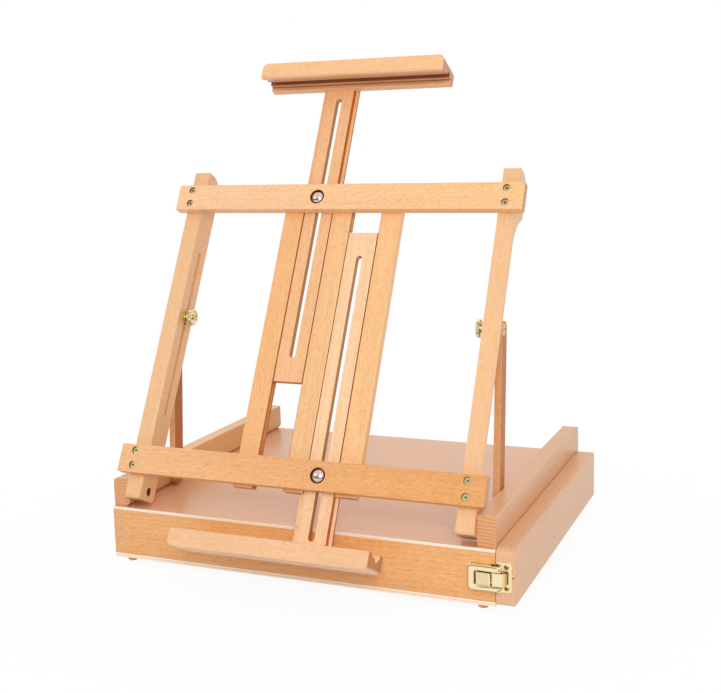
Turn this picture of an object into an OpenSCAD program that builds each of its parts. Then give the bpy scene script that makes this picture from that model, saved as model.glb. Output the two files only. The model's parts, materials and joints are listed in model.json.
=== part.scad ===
// Table box easel: a wooden box with a drawer, and a leaning canvas frame that folds flat on it.
// Millimetres. +X is to the viewer's right, +Y to the back, +Z up.
// Origin: on the table, under the middle of the whole easel as photographed.

/* [Box] */
// Length of the front wall, without the drawer front
box_width = 401.5; // [380:0.5:440]
// Depth from the front wall to the back wall
box_depth = 346.5; // [330:0.5:380]
// Height of the box walls
wall_height = 46; // [40:0.5:60]
// Thickness of the box walls
wall_thickness = 10; // [8:0.5:12]
// Thickness of the plywood top
top_ply = 3; // [2.5:0.5:5]
// Thickness of the plywood bottom
bottom_ply = 3.5; // [3:0.5:6]
// Height of a side wall's finger in the corner joints
finger_height = 5.2; // [4:0.1:7]
// Distance from one finger to the next
finger_pitch = 12.4; // [11:0.1:14]
// Wood left above the top finger
finger_offset = 4.2; // [3:0.1:6]
// Diameter of a foot
foot_diameter = 12.5; // [8:0.5:14]
// Height of a foot
foot_height = 6; // [3:0.5:8]
// Distance of a foot's centre from the box's ends
foot_inset = 14; // [10:0.5:30]
// Distance of a foot's centre from the front and back walls' faces
foot_setback = 10; // [8:0.5:30]

/* [Rails] */
// Width of the two rails on the box
rail_width = 18; // [16:0.5:20]
// Height of the rails
rail_height = 29; // [28:0.5:31]
// Distance of the rails' front ends behind the front wall
rail_setback = 3.5; // [1:0.5:6]
// Rounding of the left rail's outer top edge
rail_rounding = 5; // [1:0.5:6]
// Rounding of the left rail's inner bottom edge
rail_foot_rounding = 6; // [1:0.5:6]

/* [Drawer] */
// Thickness of the drawer front
drawer_front_thickness = 18.3; // [14:0.1:24]
// Height of the drawer front
drawer_front_height = 53; // [48:0.5:56]
// Distance of the drawer front above the box bottom
drawer_front_lift = 1.5; // [0.5:0.5:3]
// Rounding of the drawer front's long edges
drawer_front_rounding = 2; // [1:0.5:6]
// Rounding of the drawer front's upper corners, seen from the right
drawer_front_nose = 8; // [2:0.5:12]
// Thickness of the drawer's sides and end
drawer_board = 8; // [5:0.5:10]
// Height of the drawer's sides
drawer_side_height = 41; // [30:0.5:43]
// Thickness of the drawer bottom and of the dividers
drawer_ply = 3; // [2:0.5:4]
// Free length behind the drawer end
drawer_end_gap = 5; // [2:0.5:20]
// Depth of the brush compartment along the front
brush_compartment = 90; // [60:1:140]

/* [Frame] */
// Angle of the frame from the table
lean = 62; // [45:0.5:66]
// Distance of the frame's pivot behind the front wall
pivot_setback = 12.2; // [12.2:0.1:20]
// Length of an upright above its pivot
upright_above = 350.5; // [340:0.5:380]
// Length of an upright below its pivot
upright_below = 9.8; // [9.5:0.1:10.5]
// Thickness of an upright, side to side
upright_width = 17.5; // [16:0.5:20]
// Depth of an upright in front of its pivot
upright_front = 15; // [14.7:0.1:16]
// Depth of an upright behind its pivot
upright_back = 12; // [10:0.5:12]
// Distance of the crossbars' ends from the box's sides
crossbar_inset = 9.5; // [4:0.5:14]
// Height of the crossbars
crossbar_height = 28.4; // [24:0.2:32]
// Thickness of the crossbars
crossbar_thickness = 10; // [8:0.5:12]
// Distance of the crossbars' screws from the box's left side
left_screws_at = 25.4; // [24:0.1:29]
// Distance of the crossbars' screws from the box's right side
right_screws_at = 27.4; // [24:0.1:29]
// Height of the lower crossbar's middle above the pivot, along the frame
lower_crossbar_at = 28.8; // [27:0.2:34]
// Height of the upper crossbar's middle above the pivot, along the frame
upper_crossbar_at = 316.2; // [310:0.2:322]
// Diameter of the pivot bolts
pivot_bolt = 6; // [5:0.5:8]
// Diameter of the pivot bolts' heads
pivot_head = 8; // [7.5:0.5:10]

/* [Struts] */
// Distance between a strut's two holes
strut_length = 167; // [160:0.5:175]
// Width of a strut
strut_width = 16; // [14:0.5:17]
// Length of a strut's rounded end beyond its pivot's circle
strut_tail = 4.2; // [0:0.1:5]
// Thickness of a strut
strut_thickness = 7; // [5:0.5:8]
// Distance from the frame's pivot back to the strut's pivot
strut_pivot_spacing = 75.7; // [70:0.1:82]
// Width of the slot in an upright
upright_slot = 5; // [4.5:0.1:6]
// Lower end of the slot, above the pivot
slot_from = 78.9; // [70:0.1:90]
// Upper end of the slot, above the pivot
slot_to = 260.8; // [255:0.1:270]
// Wood left in front of the rebate where the strut folds away
rebate_lip = 4.6; // [3:0.1:5]
// Radius of the cutter that made the rebate
rebate_cutter = 45; // [40:1:60]
// Diameter of the clamping bolts in the slots
stud_diameter = 4.6; // [4:0.1:5]
// Diameter of the knurled thumb nuts
nut_diameter = 17.5; // [14:0.5:18]
// Thickness of a thumb nut's knurled disc
nut_disc = 4; // [3:0.5:5]
// Length of a thumb nut's collar
nut_collar = 4; // [3:0.5:6]

/* [Guides and masts] */
// Width of the three guide rails
guide_width = 21.8; // [18:0.1:24]
// Length of the guide rails' ends below the lower crossbar
guide_below = 2.4; // [0:0.1:4]
// Thickness of the guide rails
guide_thickness = 9; // [8:0.5:10]
// Distance of the centre guide's middle to the right of the box's middle
guides_shift = 0.9; // [0:0.1:2]
// Thickness of the masts
mast_thickness = 7; // [7:0.5:8.5]
// Width of a mast's front face
mast_width = 30.8; // [26:0.2:34]
// Width of a mast's tongues
tongue_width = 4.6; // [3:0.1:5]
// Thickness of a mast's tongues
tongue_thickness = 3; // [2:0.1:3.5]
// Distance from a mast's face back to its tongues
tongue_setback = 3; // [2:0.1:3]
// Gap seen between a mast and its guide rails
mast_gap = 0.7; // [0.3:0.1:1]
// Width of the slots in the masts
mast_slot = 6.4; // [6.2:0.1:7]
// Diameter of the carriage bolts
carriage_bolt = 6; // [5:0.1:6]
// Diameter of the carriage bolts' domed heads
dome_diameter = 13.5; // [10:0.5:14]
// Lower end of the upper mast, above the pivot
upper_mast_from = 120.4; // [115:0.1:140]
// Canvas side of the top clamp, above the pivot
clamp_at = 445; // [440:0.5:470]
// Upper end of the lower mast, above the pivot
lower_mast_to = 280.5; // [260:0.1:282]
// Canvas side of the tray, below the pivot
tray_at = 37.4; // [36:0.1:40]
// Wood left between a mast's slot and the canvas holder on it
slot_end_wood = 5.8; // [4:0.1:12]
// Wood left between a mast's slot and the mast's other end
slot_far_wood = 25; // [15:0.5:40]

/* [Canvas holders] */
// Length of the top clamp and of the tray
holder_length = 204; // [180:1:240]
// Distance of the top clamp's middle to the left of the box's middle
clamp_shift = 4.3; // [0:0.1:8]
// Distance of the tray's middle to the left of the box's middle
tray_shift = 1.8; // [0:0.1:8]
// Depth of the moulding, front to back
holder_depth = 36; // [32:0.5:42]
// Height of the moulding
holder_height = 17; // [14:0.5:20]
// Rounding of its outer corners, seen from the front
holder_rounding = 5.5; // [3:0.5:8]
// Depth of the block against the mast
holder_block = 7.5; // [7:0.5:12]
// Depth of the groove's bottom
holder_groove = 7.5; // [4:0.5:8]
// Depth of the notch in a mast that takes the moulding
holder_notch = 2.7; // [2:0.1:3]

/* [Latch] */
// Height of the latch
latch_height = 26; // [20:0.5:30]
// Length of the latch's lever
latch_length = 29.5; // [24:0.5:34]
// Height of the latch's middle above the box bottom
latch_at = 26.8; // [20:0.1:30]
// Thickness of the latch's sheet brass
latch_sheet = 1; // [0.8:0.1:1.2]

/* [Hidden] */
$fn = 64;

// Clearances between parts that move on each other
run = 0.3;      // faces that slide past each other
fit = 0.05;     // a bore's radius over its pin's
seat = 0.1;     // a washer or nut over the wood that it clamps
screw_in = 12;  // how far a pivot or a screw goes into the wood
e = 1;          // how far a cut runs past a face

// The box
box_top = bottom_ply + wall_height + top_ply;
total_width = box_width + run + drawer_front_thickness;
inner_y0 = wall_thickness + run;
inner_y1 = box_depth - wall_thickness - run;
drawer_z0 = bottom_ply + run;
fingers = 4;

// The frame's own coordinates: Z along the uprights from the pivot, Y to the frame's back
pivot_height = rail_height + run - upright_front;    // folded, the crossbars lie just over the rails
pivot_z = box_top + pivot_height;
frame_front = -upright_front;                       // the uprights' and guides' front faces
mast_front = frame_front + run;
mast_back = mast_front + mast_thickness;
upright_x0 = rail_width + run;                      // left upright's outer face
upright_x1 = upright_x0 + upright_width;            // left upright's inner face
strut_x1 = upright_x0 + strut_thickness;
rebate_depth = strut_thickness + run;
rebate_from = strut_pivot_spacing - strut_width / 2 - 12;
rebate_to = strut_pivot_spacing + strut_length + strut_width / 2 + 17;
middle = box_width / 2;
guide_middle = middle + guides_shift;
crossbar_length = box_width - 2 * crossbar_inset;
upper_mast_x = guide_middle - guide_width / 2 - mast_gap - mast_width / 2;
lower_mast_x = guide_middle + guide_width / 2 + mast_gap + mast_width / 2;
guide_from = lower_crossbar_at - crossbar_height / 2 - guide_below;
guide_to = upper_crossbar_at + crossbar_height / 2 - 2;
holder_back = mast_front + holder_notch;            // the moulding's back face

// Where the clamping bolt sits in the slot: the upright's line cut by the strut's circle
stud_at = strut_pivot_spacing * cos(lean)
        + sqrt(pow(strut_length, 2) - pow(strut_pivot_spacing * sin(lean), 2));
strut_angle = 90 - asin((stud_at * cos(lean) - strut_pivot_spacing) / strut_length);
nut_height = nut_disc + nut_collar;
washer = 1;

// The moulding of both canvas holders: [depth from its back, height from the canvas side]
moulding = [
    [0, 0], [holder_block, 0], [holder_block + 0.5, holder_groove - 3.2],
    [holder_block + 4.7, holder_groove - 3.1], [holder_block + 5.1, holder_groove],
    [holder_block + 10.8, holder_groove], [holder_block + 11.5, holder_groove - 2.9],
    [holder_block + 15, holder_groove - 2.9],
    [holder_depth - 3.5, 0], [holder_depth - 1.2, 0], [holder_depth, 1.2],
    [holder_depth, holder_height], [0, holder_height]
];

// The foremost point of the tray, which is the foremost point of the easel
tray_front_y = min([for (p = moulding)
    pivot_setback - (tray_at + p[1]) * cos(lean) + (holder_back - p[0]) * sin(lean)]);
origin_x = total_width / 2;
origin_y = (tray_front_y + box_depth) / 2;

// Places a piece drawn from the box's front left bottom corner
module on_box() translate([-origin_x, -origin_y, foot_height]) children();

// Places a piece drawn in the frame's own coordinates
module on_frame() on_box() translate([0, pivot_setback, pivot_z]) rotate([lean - 90, 0, 0]) children();

// Places a piece drawn along a strut from its pivot
module on_strut() on_box()
    translate([0, pivot_setback + strut_pivot_spacing, pivot_z]) rotate([strut_angle - 90, 0, 0])
        children();

// Turns a piece of the left side into its twin on the right side
module twin() translate([box_width, 0, 0]) mirror([1, 0, 0]) children();

// A rectangle from the origin with its corners rounded: bottom left, bottom right, top right, top left
module rounded(size, radii) {
    corners = [[0, 0], [1, 0], [1, 1], [0, 1]];
    difference() {
        square(size);
        for (i = [0:3]) if (radii[i] > 0)
            translate([corners[i][0] * size[0], corners[i][1] * size[1]])
                mirror([corners[i][0], 0]) mirror([0, corners[i][1]]) difference() {
                    translate([-e, -e]) square(radii[i] + e);
                    translate([radii[i], radii[i]]) circle(radii[i]);
                }
    }
}

// A straight slot with round ends, drawn up from its lower end
module slot(width, length) {
    translate([-width / 2, width / 2]) square([width, length - width]);
    translate([0, width / 2]) circle(width / 2);
    translate([0, length - width / 2]) circle(width / 2);
}

// A cylinder along X from x0 to x1
module rod(x0, x1, d) translate([x0, 0, 0]) rotate([0, 90, 0]) cylinder(d = d, h = x1 - x0);

// A cylinder along Y from y0 to y1
module pin(y0, y1, d) translate([0, y0, 0]) rotate([-90, 0, 0]) cylinder(d = d, h = y1 - y0);

// Box walls
module side_fingers(length)
    for (i = [0:fingers - 1])
        translate([0, 0, bottom_ply + wall_height - finger_offset - finger_height - i * finger_pitch])
            cube([wall_thickness, length, finger_height]);

module long_wall(y) translate([0, y, 0]) difference() {
    translate([0, 0, bottom_ply]) cube([box_width, wall_thickness, wall_height]);
    translate([-e, -e, 0]) side_fingers_cut();
}

// The slots for the side wall's fingers, cut a little past the wall's faces
module side_fingers_cut()
    for (i = [0:fingers - 1])
        translate([0, 0, bottom_ply + wall_height - finger_offset - finger_height - i * finger_pitch])
            cube([wall_thickness + e, wall_thickness + 2 * e, finger_height]);

module front_wall() color("burlywood") on_box() long_wall(0);

module back_wall() color("burlywood") on_box() long_wall(box_depth - wall_thickness);

module left_wall() color("tan") on_box() {
    translate([0, wall_thickness, bottom_ply])
        cube([wall_thickness, box_depth - 2 * wall_thickness, wall_height]);
    intersection() {
        side_fingers(box_depth);
        translate([0, 0, bottom_ply]) cube([wall_thickness, box_depth, wall_height]);
    }
}

module top_panel() color("rosybrown") on_box()
    translate([0, 0, bottom_ply + wall_height]) cube([box_width, box_depth, top_ply]);

module bottom_panel() color("rosybrown") on_box() cube([box_width, box_depth, bottom_ply]);

module feet() color("peru") on_box()
    for (x = [foot_inset, box_width - foot_inset], y = [foot_setback, box_depth - foot_setback])
        translate([x, y, 0]) mirror([0, 0, 1]) {
            cylinder(d1 = foot_diameter, d2 = foot_diameter * 0.94, h = foot_height / 2);
            translate([0, 0, foot_height / 2])
                cylinder(d1 = foot_diameter * 0.94, d2 = foot_diameter * 0.66, h = foot_height / 2);
        }

// Rails on the box, with the holes that the pivots screw into
module rail(radii) difference() {
    translate([0, rail_setback, box_top]) rotate([90, 0, 0]) mirror([0, 0, 1])
        linear_extrude(box_depth - rail_setback)
            rounded([rail_width, rail_height], radii);
    translate([0, pivot_setback, pivot_z]) rod(rail_width - screw_in, rail_width + e, pivot_bolt);
    translate([0, pivot_setback + strut_pivot_spacing, pivot_z])
        rod(rail_width - screw_in, rail_width + e, pivot_bolt - 1);
}

module left_rail() color("burlywood") on_box() rail([2, rail_foot_rounding, 0.8, rail_rounding]);

module right_rail() color("burlywood") on_box() twin() rail([0.8, 2, 0.8, 1.5]);

// The bolts that the uprights turn on, and the screws that the struts turn on
module pivot_bolt_left() translate([0, pivot_setback, pivot_z]) difference() {
    union() {
        rod(rail_width - screw_in, upright_x1 - 2, pivot_bolt);
        rod(upright_x1 - 3.5, upright_x1 - 0.8, pivot_head);
    }
    rod(upright_x1 - 2.6, upright_x1 + e, pivot_head * 0.45);
}

module pivot_bolts() color("gold") on_box() { pivot_bolt_left(); twin() pivot_bolt_left(); }

module strut_screw_left() translate([0, pivot_setback + strut_pivot_spacing, pivot_z]) {
    rod(rail_width - screw_in, strut_x1 - 2, pivot_bolt - 1);
    rod(strut_x1 - 2.6, strut_x1 - run, pivot_head - 1);
}

module strut_pivot_screws() color("gold") on_box() { strut_screw_left(); twin() strut_screw_left(); }

// Drawer
drawer_x0 = wall_thickness + drawer_end_gap;
drawer_x1 = box_width + run;

module drawer_front() color("tan") on_box()
    translate([drawer_x1, 0, drawer_front_lift]) intersection() {
        rotate([90, 0, 0]) mirror([0, 0, 1]) linear_extrude(box_depth)
            rounded([drawer_front_thickness, drawer_front_height],
                    [0, drawer_front_rounding, drawer_front_rounding, 0]);
        along_x(-e, drawer_front_thickness + e)
            rounded([box_depth, drawer_front_height],
                    [drawer_front_rounding, drawer_front_rounding, drawer_front_nose, drawer_front_nose]);
    }

module drawer_side(y) translate([drawer_x0, y, drawer_z0])
    cube([drawer_x1 - drawer_x0, drawer_board, drawer_side_height]);

module drawer_front_side() color("wheat") on_box() drawer_side(inner_y0);

module drawer_rear_side() color("wheat") on_box() drawer_side(inner_y1 - drawer_board);

module drawer_end() color("wheat") on_box()
    translate([drawer_x0, inner_y0 + drawer_board, drawer_z0])
        cube([drawer_board, inner_y1 - inner_y0 - 2 * drawer_board, drawer_side_height]);

module drawer_bottom() color("rosybrown") on_box()
    translate([drawer_x0 + drawer_board, inner_y0 + drawer_board, drawer_z0])
        cube([drawer_x1 - drawer_x0 - drawer_board, inner_y1 - inner_y0 - 2 * drawer_board, drawer_ply]);

module drawer_long_divider() color("wheat") on_box()
    translate([drawer_x0 + drawer_board, inner_y0 + drawer_board + brush_compartment,
               drawer_z0 + drawer_ply])
        cube([drawer_x1 - drawer_x0 - drawer_board, drawer_ply, drawer_side_height - 2 * drawer_ply]);

module drawer_cross_dividers() color("wheat") on_box() {
    y0 = inner_y0 + drawer_board + brush_compartment + drawer_ply;
    free = drawer_x1 - drawer_x0 - drawer_board;
    for (i = [1:2])
        translate([drawer_x0 + drawer_board + free * i / 3, y0, drawer_z0 + drawer_ply])
            cube([drawer_ply, inner_y1 - drawer_board - y0, drawer_side_height - 2 * drawer_ply]);
}

// Frame
module upright_outline() difference() {
    translate([frame_front, -upright_below])
        rounded([upright_front + upright_back, upright_above + upright_below], [4, 5, 18, 1.5]);
    circle(d = pivot_bolt + 2 * fit);
}

// The rebate on the outer face, where the folded strut lies, with the cutter's round run-outs
module rebate() intersection() {
    union() {
        for (z = [rebate_from, rebate_to])
            translate([frame_front + rebate_lip + rebate_cutter, z]) circle(rebate_cutter);
        translate([frame_front + rebate_lip, rebate_from])
            square([rebate_cutter, rebate_to - rebate_from]);
    }
    translate([-upright_front, 0]) square([upright_front + upright_back + e, upright_above]);
}

// A drawing in the frame's side plane, made solid along X from x0 to x1
module along_x(x0, x1) translate([x0, 0, 0]) rotate([90, 0, 90]) linear_extrude(x1 - x0) children();

module upright() difference() {
    along_x(upright_x0, upright_x1) upright_outline();
    along_x(upright_x0 - e, upright_x0 + rebate_depth) rebate();
    along_x(upright_x0 - e, upright_x1 + e) translate([0, slot_from])
        slot(upright_slot, slot_to - slot_from);
    rod(upright_x1 - 4, upright_x1 + e, pivot_head + 0.8);
}

module left_upright() color("burlywood") on_frame() difference() {
    upright();
    screws_in(screw_columns[0]) screw_hole();
}

module right_upright() color("burlywood") on_frame() difference() {
    twin() upright();
    screws_in(screw_columns[1]) screw_hole();
}

// Crossbars: two recessed screws at each end, a carriage bolt in a counterbore by the middle
screw_spacing = 15;
screw_rise = 0.8;                   // the screws sit a little above the crossbars' middle
screw_columns = [left_screws_at, box_width - right_screws_at];
screw_head = 6.6;
screw_shank = 3.5;
screw_sink = 1.4;
crossbar_front = frame_front - crossbar_thickness;
dome_sink = 3.2;

module screws_in(x)
    for (z = [lower_crossbar_at, upper_crossbar_at], dz = [-screw_spacing / 2, screw_spacing / 2])
        translate([x, 0, z + dz + screw_rise]) children();

module screw_hole() {
    pin(crossbar_front - e, crossbar_front + screw_sink + 2.2, screw_head + 0.8);
    pin(crossbar_front, frame_front + 7.5, screw_shank);
}

module screw() difference() {
    union() {
        pin(crossbar_front + screw_sink, crossbar_front + screw_sink + 2.2, screw_head);
        pin(crossbar_front + screw_sink + 2.2, frame_front + 7.5, screw_shank);
    }
    for (a = [0, 90]) rotate([0, a, 0])
        translate([-screw_head * 0.28, crossbar_front, -0.5]) cube([screw_head * 0.56, screw_sink + 1.4, 1]);
}

module crossbar(z, bolt_x) difference() {
    translate([middle - crossbar_length / 2, crossbar_front, z - crossbar_height / 2])
        cube([crossbar_length, crossbar_thickness, crossbar_height]);
    for (x = screw_columns) screws_in(x) screw_hole();
    translate([bolt_x, 0, z]) {
        pin(crossbar_front - e, crossbar_front + dome_sink, dome_diameter + 2);
        pin(crossbar_front, frame_front + e, carriage_bolt);
    }
}

module upper_crossbar() color("burlywood") on_frame() crossbar(upper_crossbar_at, upper_mast_x);

module lower_crossbar() color("burlywood") on_frame() crossbar(lower_crossbar_at, lower_mast_x);

module crossbar_screws() color("gold") on_frame()
    for (x = screw_columns) screws_in(x) screw();

// A domed carriage bolt, from its counterbore through the mast's slot to the nut at the back
bolt_end = mast_back + washer + nut_height + 3;

module dome(d, h) {
    r = (pow(d / 2, 2) + h * h) / (2 * h);
    intersection() {
        translate([0, r, 0]) rotate([-90, 0, 0]) sphere(r);
        pin(0, h, d);
    }
}

module carriage(x, z) translate([x, 0, z]) {
    translate([0, crossbar_front + dome_sink - 3, 0]) dome(dome_diameter, 3);
    pin(crossbar_front + dome_sink, bolt_end, carriage_bolt);
}

module upper_carriage_bolt() color("silver") on_frame() carriage(upper_mast_x, upper_crossbar_at);

module lower_carriage_bolt() color("silver") on_frame() carriage(lower_mast_x, lower_crossbar_at);

module mast_washers() color("gold") on_frame()
    for (p = [[upper_mast_x, upper_crossbar_at], [lower_mast_x, lower_crossbar_at]])
        translate([p[0], 0, p[1]]) difference() {
            pin(mast_back + seat, mast_back + seat + washer, nut_diameter);
            pin(0 - e * 20, 0 + e * 20, carriage_bolt);
        }

// Guide rails, grooved on the edges that face a mast
groove_front = mast_front + tongue_setback - run;
groove_thickness = tongue_thickness + 2 * run;

module guide(x, left_groove, right_groove) difference() {
    translate([x, frame_front, guide_from]) cube([guide_width, guide_thickness, guide_to - guide_from]);
    if (left_groove) groove(x - e);
    if (right_groove) groove(x + guide_width - (tongue_width - mast_gap + run));
}

module groove(x) translate([x, groove_front, guide_from - e])
    cube([tongue_width - mast_gap + run + e, groove_thickness, guide_to - guide_from + 2 * e]);

guide_step = guide_width + mast_width + 2 * mast_gap;

module left_guide() color("burlywood") on_frame()
    guide(guide_middle - guide_width / 2 - guide_step, false, true);

module centre_guide() color("burlywood") on_frame() guide(guide_middle - guide_width / 2, true, true);

module right_guide() color("burlywood") on_frame()
    guide(guide_middle - guide_width / 2 + guide_step, true, false);

// Masts: tongued on both edges, slotted for the carriage bolt, notched for the canvas holder
module mast(x, z0, z1, slot0, slot1, notch0, notch1) difference() {
    union() {
        translate([x - mast_width / 2, mast_front, z0]) cube([mast_width, mast_thickness, z1 - z0]);
        translate([x - mast_width / 2 - tongue_width, mast_front + tongue_setback, z0])
            cube([mast_width + 2 * tongue_width, tongue_thickness, z1 - z0]);
    }
    translate([x, mast_front - e, slot0]) rotate([90, 0, 0]) mirror([0, 0, 1])
        linear_extrude(mast_thickness + 2 * e) slot(mast_slot, slot1 - slot0);
    translate([x - mast_width, mast_front - e, notch0])
        cube([2 * mast_width, holder_notch + e, notch1 - notch0]);
    for (dx = [-holder_screw, holder_screw])
        translate([x + dx, 0, (notch0 + notch1) / 2 + (notch0 > z0 ? -e : e) / 2]) holder_screw_hole();
}

module upper_mast() color("wheat") on_frame()
    mast(upper_mast_x, upper_mast_from, clamp_at + holder_height,
         upper_mast_from + slot_far_wood, clamp_at - slot_end_wood - 4,
         clamp_at, clamp_at + holder_height + e);

module lower_mast() color("wheat") on_frame()
    mast(lower_mast_x, -tray_at - holder_height, lower_mast_to,
         -tray_at + slot_end_wood, lower_mast_to - slot_far_wood,
         -tray_at - holder_height - e, -tray_at);

// Screws through a mast's back into its canvas holder
holder_screw = 10;

module holder_screw_hole() {
    pin(holder_back - screw_in, mast_back + e, 3.5);
    pin(mast_back - 2.5, mast_back + e, 7);
}

module holder_screws(x, z) color("gold") on_frame()
    for (dx = [-holder_screw, holder_screw]) translate([x + dx, 0, z]) {
        pin(holder_back - screw_in, mast_back - 2.5, 3.5);
        pin(mast_back - 2.5, mast_back - run, 7);
    }

module top_clamp_screws() holder_screws(upper_mast_x, clamp_at + holder_height / 2);

module tray_screws() holder_screws(lower_mast_x, -tray_at - holder_height / 2);

// Canvas holders: one moulding, with the lip down on the clamp and up on the tray
module holder() intersection() {
    along_x(-holder_length / 2, holder_length / 2) mirror([1, 0]) polygon(moulding);
    translate([-holder_length / 2, e, 0]) rotate([90, 0, 0])
        linear_extrude(holder_depth + 2 * e)
            rounded([holder_length, holder_height], [0, 0, holder_rounding, holder_rounding]);
}

module top_clamp() color("burlywood") on_frame() difference() {
    translate([middle - clamp_shift, holder_back, clamp_at]) holder();
    for (dx = [-holder_screw, holder_screw])
        translate([upper_mast_x + dx, 0, clamp_at + holder_height / 2])
            pin(holder_back - screw_in, holder_back + e, 3.5);
}

module tray() color("burlywood") on_frame() difference() {
    translate([middle - tray_shift, holder_back, -tray_at]) mirror([0, 0, 1]) holder();
    for (dx = [-holder_screw, holder_screw])
        translate([lower_mast_x + dx, 0, -tray_at - holder_height / 2])
            pin(holder_back - screw_in, holder_back + e, 3.5);
}

// A knurled thumb nut along +Y from its collar, on a thread of the given diameter
module thumb_nut(thread) difference() {
    union() {
        pin(0, nut_collar, nut_diameter / 2);
        pin(nut_collar, nut_height, nut_diameter);
    }
    pin(-e, nut_height + e, thread + 2 * fit);
    pin(nut_height - 1.2, nut_height + e, nut_diameter * 0.7);
}

module mast_nut(x, z) color("gold") on_frame()
    translate([x, mast_back + 2 * seat + washer, z]) thumb_nut(carriage_bolt);

module upper_mast_nut() mast_nut(upper_mast_x, upper_crossbar_at);

module lower_mast_nut() mast_nut(lower_mast_x, lower_crossbar_at);

// Struts, each with the head half of its clamping bolt
bolt_head = 12.6;
bolt_head_sink = 3.4;

module strut() difference() {
    along_x(upright_x0, strut_x1) union() {
        translate([0, -strut_tail]) circle(d = strut_width);
        translate([-strut_width / 2, -strut_tail]) square([strut_width, strut_length + strut_tail]);
        translate([0, strut_length]) circle(d = strut_width);
    }
    rod(upright_x0 - e, strut_x1 + e, pivot_bolt - 1 + 2 * fit);
    rod(strut_x1 - 2.8, strut_x1 + e, pivot_head);
    translate([0, 0, strut_length]) {
        rod(upright_x0 - e, strut_x1 + e, stud_diameter);
        rod(upright_x0 - e, upright_x0 + bolt_head_sink, bolt_head + 1);
    }
}

module strut_bolt() translate([0, 0, strut_length]) difference() {
    union() {
        rod(upright_x0 + 0.6, upright_x0 + bolt_head_sink, bolt_head);
        rod(upright_x0 + bolt_head_sink, strut_x1, stud_diameter);
    }
    translate([upright_x0, -bolt_head / 2, -0.6]) cube([1.8, bolt_head, 1.2]);
}

module left_strut() color("burlywood") on_strut() strut();

module right_strut() color("burlywood") on_strut() twin() strut();

module left_strut_bolt() color("gold") on_strut() strut_bolt();

module right_strut_bolt() color("gold") on_strut() twin() strut_bolt();

// The thread half of a clamping bolt, which slides in the upright's slot, and its washer
module stud() translate([0, 0, stud_at]) {
    rod(strut_x1 + run, upright_x1 + washer + nut_height + 1, stud_diameter);
    rod(upright_x1 + seat, upright_x1 + seat + washer, nut_diameter * 0.86);
}

module stud_nut() translate([upright_x1 + 2 * seat + washer, 0, stud_at]) rotate([0, 0, -90])
    thumb_nut(stud_diameter);

module left_stud() color("gold") on_frame() stud();

module right_stud() color("gold") on_frame() twin() stud();

module left_thumb_nut() color("khaki") on_frame() stud_nut();

module right_thumb_nut() color("khaki") on_frame() twin() stud_nut();

// Toggle latch on the front: base and lever on the box, strike plate on the drawer
lever_axis = [box_width + 5, -2.9];
strap_pin = [lever_axis[0] - 6, -5];
lever_y0 = -6;                      // the lever's front and back faces
lever_y1 = -4.4;
leg_inside = latch_height / 2 - 6.1; // half the lever's opening
leg_outside = latch_height / 2 - 0.9;
ear_z = (leg_inside + leg_outside) / 2;
strap_half = leg_inside - 0.7;
strap_length = 9.4;
hook_x = lever_axis[0] + 0.6;
strike_shift = 1.3;                 // the strike sits a little higher than the lever

module on_latch() on_box() translate([0, 0, latch_at]) children();

// A drawing seen from the front, made solid from y0 back to y1
module facing(y0, y1) translate([0, y1, 0]) rotate([90, 0, 0]) linear_extrude(y1 - y0) children();

module at_ears() for (s = [-1, 1]) translate([0, 0, s * ear_z]) children();

module latch_base() color("goldenrod") on_latch() {
    x0 = lever_axis[0] - latch_length - 0.8;
    facing(-latch_sheet, 0) translate([x0, -latch_height / 2 + 0.5])
        rounded([box_width - 0.3 - x0, latch_height - 1], [4, 0, 0, 4]);
    facing(-2.2, 0.5 - latch_sheet) translate([x0 + 7.5, 1 - leg_inside])
        rounded([14.5, 2 * leg_inside - 2], [2, 0, 0, 2]);
    at_ears() difference() {
        union() {
            translate([lever_axis[0], lever_axis[1], -0.5]) cylinder(r = 1.2, h = 1);
            translate([box_width - 4, lever_axis[1] - 1.2, -0.5])
                cube([lever_axis[0] - box_width + 4, 2.4, 1]);
            translate([box_width - 4, -1.8, -0.5]) cube([3.7, 1.8 - latch_sheet / 2, 1]);
        }
        translate([lever_axis[0], lever_axis[1], -e]) cylinder(d = 1.2 + 2 * fit, h = 2 * e);
    }
}

module lever_outline(inset) translate([lever_axis[0] - latch_length + inset, -leg_outside + inset])
    rounded([latch_length + 1 - inset, 2 * (leg_outside - inset)], [4, 4.5, 4.5, 4]);

// The lever: a ring round the strap, turning on a pin in each of the base's ears
module latch_lever() color("gold") on_latch() {
    facing(lever_y0, lever_y1) difference() {
        lever_outline(0);
        translate([lever_axis[0] - latch_length + 6.5, -leg_inside])
            rounded([latch_length, 2 * leg_inside], [2.5, 0, 0, 2.5]);
    }
    facing(lever_y1 - 0.5, -1.5) difference() {
        lever_outline(0);
        lever_outline(1.1);
        translate([box_width - 3, -latch_height]) square([latch_length, 2 * latch_height]);
    }
    at_ears() {
        for (z = [-2.2, 0.8]) translate([lever_axis[0], lever_axis[1], z]) {
            cylinder(r = 1.1, h = 1.4);
            translate([-1.1, lever_y1 - 0.5 - lever_axis[1], 0])
                cube([2.1, 0.5 - lever_y1 + lever_axis[1], 1.4]);
        }
        translate([lever_axis[0], lever_axis[1], -2.2]) cylinder(d = 1.2, h = 4.4);
    }
    translate([strap_pin[0], strap_pin[1], -leg_inside - 0.5]) cylinder(d = 1, h = 2 * leg_inside + 1);
}

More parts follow.
